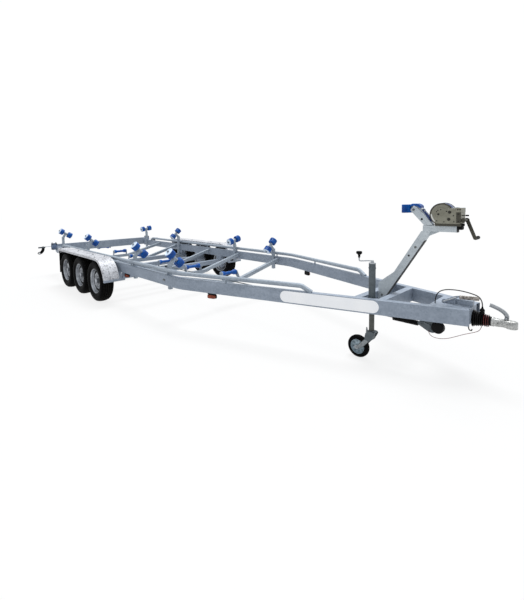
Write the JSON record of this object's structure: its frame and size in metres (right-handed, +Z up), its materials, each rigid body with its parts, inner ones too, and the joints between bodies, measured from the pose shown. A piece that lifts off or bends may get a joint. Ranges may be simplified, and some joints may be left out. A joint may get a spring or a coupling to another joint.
{
  "type": "boat trailer",
  "caption": "Galvanised boat trailer with tapering frame, keel and side rollers, braked wheels under mudguards, winch post, jockey wheel and ball coupling.",
  "frame": {"origin": "middle of the trailer's outline, on the ground that its wheels and jockey wheel stand on", "axes": "+X forward to the coupling, +Y to the trailer's left, +Z up"},
  "size_m": [7.5, 2.61, 1.344],
  "materials": {
    "galvanised": "hot-dip galvanised",
    "roller_blue": "moulded polyurethane",
    "tyre": "matt",
    "rim": "satin silver",
    "tread_plate": "embossed sheet",
    "flap_rubber": "matt",
    "cast_coupling": "zinc plated casting",
    "bellows_rubber": "matt",
    "winch_zinc": "yellowish zinc plate",
    "winch_drum_zinc": "yellowish zinc plate",
    "jockey_zinc": "dull zinc",
    "lamp_red": "glossy",
    "amber_lens": "glossy",
    "black_cable": "satin",
    "black_plastic": "satin",
    "grip_tan": "satin",
    "red_cable": "satin"
  },
  "bodies": {
    "root": {"axles": "galvanised", "bellows": "bellows_rubber", "bow_block": "roller_blue", "brake_linkage": "galvanised", "brake_spring": "black_plastic", "breakaway_cable": "red_cable", "cable_plug": "black_plastic", "chord_rails": "galvanised", "coupling_head": "cast_coupling", "coupling_housing": "galvanised", "coupling_lever": "cast_coupling", "electric_cable": "black_cable", "front_crossmembers": "galvanised", "handbrake_lever": "grip_tan", "jockey_crank": "jockey_zinc", "jockey_outer_tube": "jockey_zinc", "keel_crossmembers": "galvanised", "main_rails": "galvanised", "marker_arms": "flap_rubber", "mud_flaps": "flap_rubber", "mudguard_arms": "galvanised", "mudguards": "tread_plate", "rear_crossbeam": "galvanised", "rear_lamps": "lamp_red", "side_markers": "amber_lens", "side_roller_posts": "galvanised", "winch_frame": "winch_zinc", "winch_post": "galvanised"},
    "wheel_right_1": {"tyre_right_1": "tyre", "rim_right_1": "rim"},
    "wheel_right_2": {"tyre_right_2": "tyre", "rim_right_2": "rim"},
    "wheel_right_3": {"tyre_right_3": "tyre", "rim_right_3": "rim"},
    "wheel_left_1": {"tyre_left_1": "tyre", "rim_left_1": "rim"},
    "wheel_left_2": {"tyre_left_2": "tyre", "rim_left_2": "rim"},
    "wheel_left_3": {"tyre_left_3": "tyre", "rim_left_3": "rim"},
    "keel_roller_1": {"keel_roller_1": "roller_blue"},
    "keel_roller_2": {"keel_roller_2": "roller_blue"},
    "keel_roller_3": {"keel_roller_3": "roller_blue"},
    "keel_roller_4": {"keel_roller_4": "roller_blue"},
    "keel_roller_5": {"keel_roller_5": "roller_blue"},
    "keel_roller_6": {"keel_roller_6": "roller_blue"},
    "side_rollers_right_1": {"side_rollers_right_1": "roller_blue"},
    "side_rollers_left_1": {"side_rollers_left_1": "roller_blue"},
    "side_rollers_right_2": {"side_rollers_right_2": "roller_blue"},
    "side_rollers_left_2": {"side_rollers_left_2": "roller_blue"},
    "side_rollers_right_3": {"side_rollers_right_3": "roller_blue"},
    "side_rollers_left_3": {"side_rollers_left_3": "roller_blue"},
    "side_rollers_right_4": {"side_rollers_right_4": "roller_blue"},
    "side_rollers_left_4": {"side_rollers_left_4": "roller_blue"},
    "winch_drum": {"winch_drum": "winch_drum_zinc"},
    "winch_crank": {"winch_crank": "winch_zinc"},
    "jockey_slide": {"jockey_inner_tube": "jockey_zinc"},
    "jockey_castor": {"jockey_fork": "jockey_zinc"},
    "jockey_wheel": {"jockey_rim": "rim", "jockey_tyre": "tyre"}
  },
  "joints": [
    {"name": "wheel_right_1_spin", "type": "hinge", "parent": "root", "child": "wheel_right_1", "pos_m": [-0.9, -1.1475, 0.298], "axis": [0, 1, 0], "continuous": true},
    {"name": "wheel_right_2_spin", "type": "hinge", "parent": "root", "child": "wheel_right_2", "pos_m": [-1.54, -1.1475, 0.298], "axis": [0, 1, 0], "continuous": true},
    {"name": "wheel_right_3_spin", "type": "hinge", "parent": "root", "child": "wheel_right_3", "pos_m": [-2.18, -1.1475, 0.298], "axis": [0, 1, 0], "continuous": true},
    {"name": "wheel_left_1_spin", "type": "hinge", "parent": "root", "child": "wheel_left_1", "pos_m": [-0.9, 1.1475, 0.298], "axis": [0, 1, 0], "continuous": true},
    {"name": "wheel_left_2_spin", "type": "hinge", "parent": "root", "child": "wheel_left_2", "pos_m": [-1.54, 1.1475, 0.298], "axis": [0, 1, 0], "continuous": true},
    {"name": "wheel_left_3_spin", "type": "hinge", "parent": "root", "child": "wheel_left_3", "pos_m": [-2.18, 1.1475, 0.298], "axis": [0, 1, 0], "continuous": true},
    {"name": "keel_roller_1_spin", "type": "hinge", "parent": "root", "child": "keel_roller_1", "pos_m": [0.607, 0, 0.437], "axis": [0, 1, 0], "continuous": true},
    {"name": "keel_roller_2_spin", "type": "hinge", "parent": "root", "child": "keel_roller_2", "pos_m": [-0.242, 0, 0.424], "axis": [0, 1, 0], "continuous": true},
    {"name": "keel_roller_3_spin", "type": "hinge", "parent": "root", "child": "keel_roller_3", "pos_m": [-1.031, 0, 0.42], "axis": [0, 1, 0], "continuous": true},
    {"name": "keel_roller_4_spin", "type": "hinge", "parent": "root", "child": "keel_roller_4", "pos_m": [-2.136, 0, 0.412], "axis": [0, 1, 0], "continuous": true},
    {"name": "keel_roller_5_spin", "type": "hinge", "parent": "root", "child": "keel_roller_5", "pos_m": [-2.838, 0, 0.436], "axis": [0, 1, 0], "continuous": true},
    {"name": "keel_roller_6_spin", "type": "hinge", "parent": "root", "child": "keel_roller_6", "pos_m": [-3.714, 0, 0.452], "axis": [0, 1, 0], "continuous": true},
    {"name": "side_rollers_right_1_spin", "type": "hinge", "parent": "root", "child": "side_rollers_right_1", "pos_m": [0.61, -0.83429, 0.735], "axis": [0, 0.7071, -0.7071], "continuous": true},
    {"name": "side_rollers_left_1_spin", "type": "hinge", "parent": "root", "child": "side_rollers_left_1", "pos_m": [0.61, 0.83553, 0.735], "axis": [0, 0.7193, 0.6947], "continuous": true},
    {"name": "side_rollers_right_2_spin", "type": "hinge", "parent": "root", "child": "side_rollers_right_2", "pos_m": [-0.278, -0.83429, 0.755], "axis": [0, 0.7071, -0.7071], "continuous": true},
    {"name": "side_rollers_left_2_spin", "type": "hinge", "parent": "root", "child": "side_rollers_left_2", "pos_m": [-0.278, 0.8825, 0.755], "axis": [0, 0.9744, 0.225], "continuous": true},
    {"name": "side_rollers_right_3_spin", "type": "hinge", "parent": "root", "child": "side_rollers_right_3", "pos_m": [-2.04, -0.83939, 0.78], "axis": [0, 0.7547, -0.6561], "continuous": true},
    {"name": "side_rollers_left_3_spin", "type": "hinge", "parent": "root", "child": "side_rollers_left_3", "pos_m": [-2.04, 0.83809, 0.78], "axis": [0, 0.7431, 0.6691], "continuous": true},
    {"name": "side_rollers_right_4_spin", "type": "hinge", "parent": "root", "child": "side_rollers_right_4", "pos_m": [-3.41, -0.855, 0.83], "axis": [0, 0.866, -0.5], "continuous": true},
    {"name": "side_rollers_left_4_spin", "type": "hinge", "parent": "root", "child": "side_rollers_left_4", "pos_m": [-3.41, 0.89455, 0.83], "axis": [0, 0.9945, 0.1045], "continuous": true},
    {"name": "winch_drum_spin", "type": "hinge", "parent": "root", "child": "winch_drum", "pos_m": [3.247, 0, 1.26], "axis": [0, 1, 0], "continuous": true},
    {"name": "winch_crank_spin", "type": "hinge", "parent": "root", "child": "winch_crank", "pos_m": [3.4, 0, 1.215], "axis": [0, 1, 0], "continuous": true},
    {"name": "jockey_slide", "type": "slide", "parent": "root", "child": "jockey_slide", "axis": [0, 0, 1], "range_m": [-0.06, 0.14]},
    {"name": "jockey_swivel", "type": "hinge", "parent": "jockey_slide", "child": "jockey_castor", "pos_m": [2.79, -0.263, 0.27], "axis": [0, 0, 1], "continuous": true},
    {"name": "jockey_wheel_spin", "type": "hinge", "parent": "jockey_castor", "child": "jockey_wheel", "pos_m": [2.671, -0.263, 0.098], "axis": [0, 1, 0], "continuous": true}
  ],
  "couplings": [
    {"joint": "winch_crank_spin", "follows": "winch_drum_spin", "ratio": -4.1}
  ]
}
